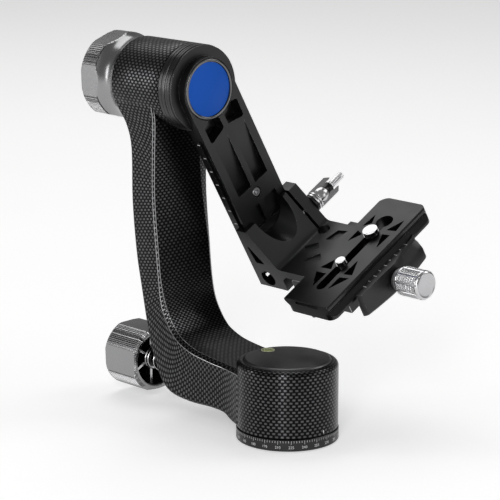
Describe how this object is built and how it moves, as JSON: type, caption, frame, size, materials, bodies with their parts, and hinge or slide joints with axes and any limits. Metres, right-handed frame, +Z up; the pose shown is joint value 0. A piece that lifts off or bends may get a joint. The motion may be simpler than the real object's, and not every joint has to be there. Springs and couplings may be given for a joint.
{
  "type": "gimbal tripod head",
  "caption": "Side-mount gimbal tripod head: round panning base, bent carbon arm, tilting swing arm, sliding cradle with lens platform and rail clamp, silver lock knobs.",
  "frame": {"origin": "centre of the base's underside, on the pan axis", "axes": "+Z up along the pan axis; +X along the tilt axis, from the tilt knob towards the swing arm and cradle; +Y across, the side towards which the cradle is swung at rest"},
  "size_m": [0.197, 0.1415, 0.2238],
  "materials": {
    "base_black": "black anodised, satin, engraved white degree scale",
    "carbon_weave": "carbon fibre weave under clear gloss resin",
    "cap_grey": "dark grey anodised, fine matt",
    "black_anodised": "black hard anodised, satin",
    "cap_rim": "black anodised, polished rim",
    "blue_disc": "blue lacquer, satin",
    "level_cup": "pale plastic ring",
    "level_vial": "clear vial with yellow-green liquid",
    "silver_knob": "clear anodised, fluted and polished",
    "camera_screw_steel": "bright stainless steel",
    "bearing_steel": "ground bearing steel",
    "brass": "plain turned brass",
    "steel": "turned steel"
  },
  "bodies": {
    "base": {"base_plate": "base_black", "tripod_bush": "steel", "pan_spindle": "steel", "spindle_screw_1": "steel", "spindle_screw_2": "steel", "spindle_screw_3": "steel", "pan_retaining_nut": "steel"},
    "main_arm": {"main_arm": "carbon_weave", "pan_bearing_lower": "bearing_steel", "pan_bearing_upper": "bearing_steel", "pan_cap": "cap_grey", "bubble_level_cup": "level_cup", "bubble_level_vial": "level_vial", "barrel_front_ring": "black_anodised", "friction_ring": "black_anodised", "tilt_bearing_front": "bearing_steel", "tilt_bearing_rear": "bearing_steel", "pan_lock_sleeve": "black_anodised"},
    "pan_lock": {"pan_knob": "silver_knob", "pan_lock_screw": "steel", "pan_neck_washer_outer": "silver_knob", "pan_neck_collar": "black_anodised", "pan_neck_washer_inner": "silver_knob"},
    "pan_brake": {"pan_brake_shoe": "brass"},
    "swing": {"swing_arm": "black_anodised", "tilt_shaft": "steel", "shaft_screw_1": "steel", "shaft_screw_2": "steel", "shaft_screw_3": "steel", "pivot_cap": "cap_rim", "pivot_disc": "blue_disc", "stop_screw_upper": "steel", "stop_screw_lower": "steel", "tilt_pressure_ring": "steel"},
    "tilt_lock": {"tilt_knob": "silver_knob", "tilt_knob_bush": "brass", "tilt_spring_washer": "steel"},
    "cradle": {"cradle_bracket": "black_anodised", "rail_stop_near": "steel", "rail_stop_far": "steel", "lever_washer_inner": "black_anodised"},
    "wing_lever": {"wing_lever": "silver_knob", "wing_lever_bolt": "silver_knob", "lever_washer_outer": "silver_knob"},
    "small_slider": {"camera_screw_washer_small": "steel"},
    "small_screw": {"camera_screw_small": "camera_screw_steel"},
    "large_slider": {"camera_screw_washer_large": "steel"},
    "large_screw": {"camera_screw_large": "camera_screw_steel"},
    "clamp": {"clamp_body": "black_anodised", "guide_pin_1": "steel", "guide_pin_2": "steel", "clamp_bush": "steel"},
    "clamp_jaw": {"clamp_jaw": "black_anodised"},
    "clamp_knob": {"clamp_knob": "silver_knob", "clamp_screw": "steel", "clamp_washer": "steel"}
  },
  "joints": [
    {"name": "pan", "type": "hinge", "parent": "base", "child": "main_arm", "pos_m": [0, 0, 0], "axis": [0, 0, 1], "continuous": true},
    {"name": "pan_lock_turn", "type": "hinge", "parent": "main_arm", "child": "pan_lock", "pos_m": [-0.128, 0, 0.0235], "axis": [1, 0, 0], "range_deg": [0, 180]},
    {"name": "pan_brake_slide", "type": "slide", "parent": "main_arm", "child": "pan_brake", "axis": [1, 0, 0], "range_m": [0, 0.0006]},
    {"name": "tilt", "type": "hinge", "parent": "main_arm", "child": "swing", "pos_m": [0, 0, 0.197], "axis": [1, 0, 0], "continuous": true},
    {"name": "tilt_lock_turn", "type": "hinge", "parent": "swing", "child": "tilt_lock", "pos_m": [-0.14, 0, 0.197], "axis": [1, 0, 0], "range_deg": [-180, 0]},
    {"name": "cradle_slide", "type": "slide", "parent": "swing", "child": "cradle", "axis": [0, -0.5, 0.866], "range_m": [-0.002, 0.058]},
    {"name": "wing_turn", "type": "hinge", "parent": "cradle", "child": "wing_lever", "pos_m": [-0.058, 0.07923, 0.11977], "axis": [0, 0.866, 0.5], "range_deg": [0, 180]},
    {"name": "small_screw_slide", "type": "slide", "parent": "cradle", "child": "small_slider", "axis": [0, 0.866, 0.5], "range_m": [-0.014, 0.006]},
    {"name": "small_screw_turn", "type": "hinge", "parent": "small_slider", "child": "small_screw", "pos_m": [-0.0075, 0.05428, 0.08978], "axis": [0, -0.5, 0.866], "continuous": true},
    {"name": "large_screw_slide", "type": "slide", "parent": "cradle", "child": "large_slider", "axis": [0, 0.866, 0.5], "range_m": [-0.006, 0.006]},
    {"name": "large_screw_turn", "type": "hinge", "parent": "large_slider", "child": "large_screw", "pos_m": [-0.0075, 0.07949, 0.10433], "axis": [0, -0.5, 0.866], "continuous": true},
    {"name": "clamp_slide", "type": "slide", "parent": "cradle", "child": "clamp", "axis": [0, 0.866, 0.5], "range_m": [-0.012, 0.012]},
    {"name": "clamp_jaw_slide", "type": "slide", "parent": "clamp", "child": "clamp_jaw", "axis": [1, 0, 0], "range_m": [0, 0.0052]},
    {"name": "clamp_knob_turn", "type": "hinge", "parent": "clamp_jaw", "child": "clamp_knob", "pos_m": [0.03, 0.07145, 0.08595], "axis": [1, 0, 0], "range_deg": [0, 1440]}
  ],
  "couplings": [
    {"joint": "pan_brake_slide", "follows": "pan_lock_turn", "m_per_rad": 0.00015915},
    {"joint": "clamp_jaw_slide", "follows": "clamp_knob_turn", "m_per_rad": 0.00019894}
  ]
}
